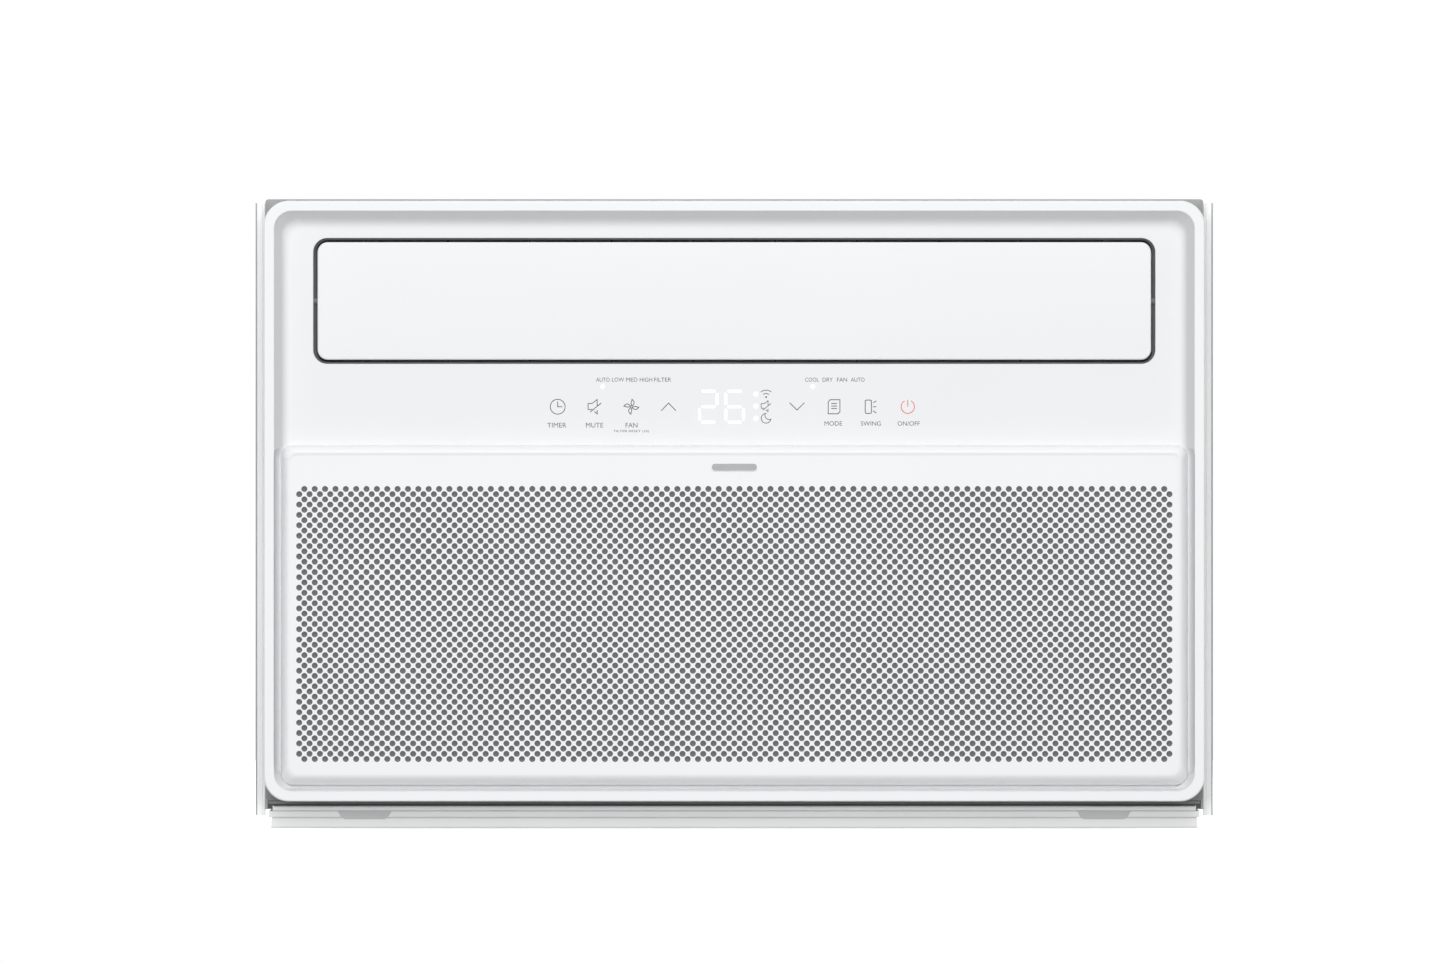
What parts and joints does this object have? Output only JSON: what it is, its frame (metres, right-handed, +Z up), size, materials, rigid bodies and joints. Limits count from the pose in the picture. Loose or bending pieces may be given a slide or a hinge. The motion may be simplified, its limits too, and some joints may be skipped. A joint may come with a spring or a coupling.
{
  "type": "window air conditioner",
  "caption": "Window air conditioner: moulded front with a pivoting outlet flap and perforated intake grille on a sheet-metal cabinet with fan, coils and compressor.",
  "frame": {"origin": "on the supporting surface, under the middle of the whole unit", "axes": "+Z up, the room-side front faces -Y, +X is to the right seen from the room"},
  "size_m": [0.6714, 0.68, 0.441],
  "materials": {
    "white_front": "fine satin white moulding",
    "channel_white": "satin white paint",
    "pan_pale": "satin pale grey coating",
    "cabinet_grey": "galvanised sheet with a matt grey coating",
    "dark_plastic": "dark matt moulding",
    "grey_plastic": "mid grey matt moulding",
    "duct_foam": "white expanded foam, fine beads",
    "filter_net": "woven nylon net",
    "badge_metal": "dark brushed metal",
    "coil_fins": "bare pressed fins",
    "copper": "drawn copper tube, slightly tarnished",
    "steel": "zinc plated steel",
    "black_steel": "black stove enamel",
    "rubber": "matt black rubber",
    "circuit_board": "green solder mask"
  },
  "bodies": {
    "chassis": {"front_bezel": "white_front", "outlet_duct": "duct_foam", "flap_motor": "steel", "vane_motor": "steel", "control_board": "circuit_board", "cabinet": "cabinet_grey", "rear_guard": "cabinet_grey", "base_pan": "pan_pale", "front_tab_left": "pan_pale", "front_tab_right": "pan_pale", "drain_plug": "rubber", "side_channel_left": "channel_white", "side_channel_right": "channel_white", "cord_gland": "rubber", "drip_tray": "duct_foam", "evaporator_coil": "coil_fins", "blower_housing": "grey_plastic", "inlet_ring": "grey_plastic", "bulkhead": "steel", "fan_motor": "black_steel", "motor_bracket": "steel", "condenser_shroud": "grey_plastic", "condenser_coil": "coil_fins", "compressor": "black_steel", "compressor_plate": "black_steel", "compressor_mount_1": "rubber", "compressor_mount_2": "rubber", "compressor_mount_3": "rubber", "accumulator": "black_steel", "discharge_tube": "copper", "suction_tube": "copper", "capillary_tube": "copper", "control_box": "steel", "control_box_lid": "steel", "run_capacitor": "grey_plastic"},
    "grille": {"intake_grille": "white_front", "grille_latch_left": "white_front", "grille_latch_right": "white_front", "grille_pivot_left": "grey_plastic", "grille_pivot_right": "grey_plastic", "badge": "badge_metal", "filter_frame": "dark_plastic", "filter_mesh": "filter_net"},
    "flap": {"outlet_flap": "white_front", "flap_pin_left": "grey_plastic", "flap_pin_right": "grey_plastic"},
    "rotor": {"blower_wheel": "dark_plastic", "motor_shaft": "steel", "condenser_fan": "dark_plastic"},
    "vane_01": {"air_vane_01": "dark_plastic"},
    "vane_02": {"air_vane_02": "dark_plastic"},
    "vane_03": {"air_vane_03": "dark_plastic"},
    "vane_04": {"air_vane_04": "dark_plastic"},
    "vane_05": {"air_vane_05": "dark_plastic"},
    "vane_06": {"air_vane_06": "dark_plastic"},
    "vane_07": {"air_vane_07": "dark_plastic"},
    "vane_08": {"air_vane_08": "dark_plastic"},
    "vane_09": {"air_vane_09": "dark_plastic"},
    "vane_10": {"air_vane_10": "dark_plastic"},
    "vane_link": {"vane_link_bar": "dark_plastic"}
  },
  "joints": [
    {"name": "flap_hinge", "type": "hinge", "parent": "chassis", "child": "flap", "pos_m": [0, -0.322, 0.37], "axis": [-1, 0, 0], "range_deg": [0, 80]},
    {"name": "grille_hinge", "type": "hinge", "parent": "chassis", "child": "grille", "pos_m": [0, -0.333, 0.0325], "axis": [1, 0, 0], "range_deg": [0, 45]},
    {"name": "fan_spin", "type": "hinge", "parent": "chassis", "child": "rotor", "pos_m": [-0.02, 0, 0.175], "axis": [0, 1, 0], "continuous": true},
    {"name": "vane_01_pivot", "type": "hinge", "parent": "chassis", "child": "vane_01", "pos_m": [-0.25875, -0.262, 0.37], "axis": [0, 0, 1], "range_deg": [-30, 30]},
    {"name": "vane_02_pivot", "type": "hinge", "parent": "chassis", "child": "vane_02", "pos_m": [-0.20125, -0.262, 0.37], "axis": [0, 0, 1], "range_deg": [-30, 30]},
    {"name": "vane_03_pivot", "type": "hinge", "parent": "chassis", "child": "vane_03", "pos_m": [-0.14375, -0.262, 0.37], "axis": [0, 0, 1], "range_deg": [-30, 30]},
    {"name": "vane_04_pivot", "type": "hinge", "parent": "chassis", "child": "vane_04", "pos_m": [-0.08625, -0.262, 0.37], "axis": [0, 0, 1], "range_deg": [-30, 30]},
    {"name": "vane_05_pivot", "type": "hinge", "parent": "chassis", "child": "vane_05", "pos_m": [-0.02875, -0.262, 0.37], "axis": [0, 0, 1], "range_deg": [-30, 30]},
    {"name": "vane_06_pivot", "type": "hinge", "parent": "chassis", "child": "vane_06", "pos_m": [0.02875, -0.262, 0.37], "axis": [0, 0, 1], "range_deg": [-30, 30]},
    {"name": "vane_07_pivot", "type": "hinge", "parent": "chassis", "child": "vane_07", "pos_m": [0.08625, -0.262, 0.37], "axis": [0, 0, 1], "range_deg": [-30, 30]},
    {"name": "vane_08_pivot", "type": "hinge", "parent": "chassis", "child": "vane_08", "pos_m": [0.14375, -0.262, 0.37], "axis": [0, 0, 1], "range_deg": [-30, 30]},
    {"name": "vane_09_pivot", "type": "hinge", "parent": "chassis", "child": "vane_09", "pos_m": [0.20125, -0.262, 0.37], "axis": [0, 0, 1], "range_deg": [-30, 30]},
    {"name": "vane_10_pivot", "type": "hinge", "parent": "chassis", "child": "vane_10", "pos_m": [0.25875, -0.262, 0.37], "axis": [0, 0, 1], "range_deg": [-30, 30]},
    {"name": "vane_link_pivot", "type": "hinge", "parent": "vane_01", "child": "vane_link", "pos_m": [-0.25875, -0.2494, 0.342], "axis": [0, 0, 1], "range_deg": [-30, 30]}
  ],
  "couplings": [
    {"joint": "vane_02_pivot", "follows": "vane_01_pivot", "ratio": 1},
    {"joint": "vane_03_pivot", "follows": "vane_01_pivot", "ratio": 1},
    {"joint": "vane_04_pivot", "follows": "vane_01_pivot", "ratio": 1},
    {"joint": "vane_05_pivot", "follows": "vane_01_pivot", "ratio": 1},
    {"joint": "vane_06_pivot", "follows": "vane_01_pivot", "ratio": 1},
    {"joint": "vane_07_pivot", "follows": "vane_01_pivot", "ratio": 1},
    {"joint": "vane_08_pivot", "follows": "vane_01_pivot", "ratio": 1},
    {"joint": "vane_09_pivot", "follows": "vane_01_pivot", "ratio": 1},
    {"joint": "vane_10_pivot", "follows": "vane_01_pivot", "ratio": 1},
    {"joint": "vane_link_pivot", "follows": "vane_01_pivot", "ratio": -1}
  ]
}
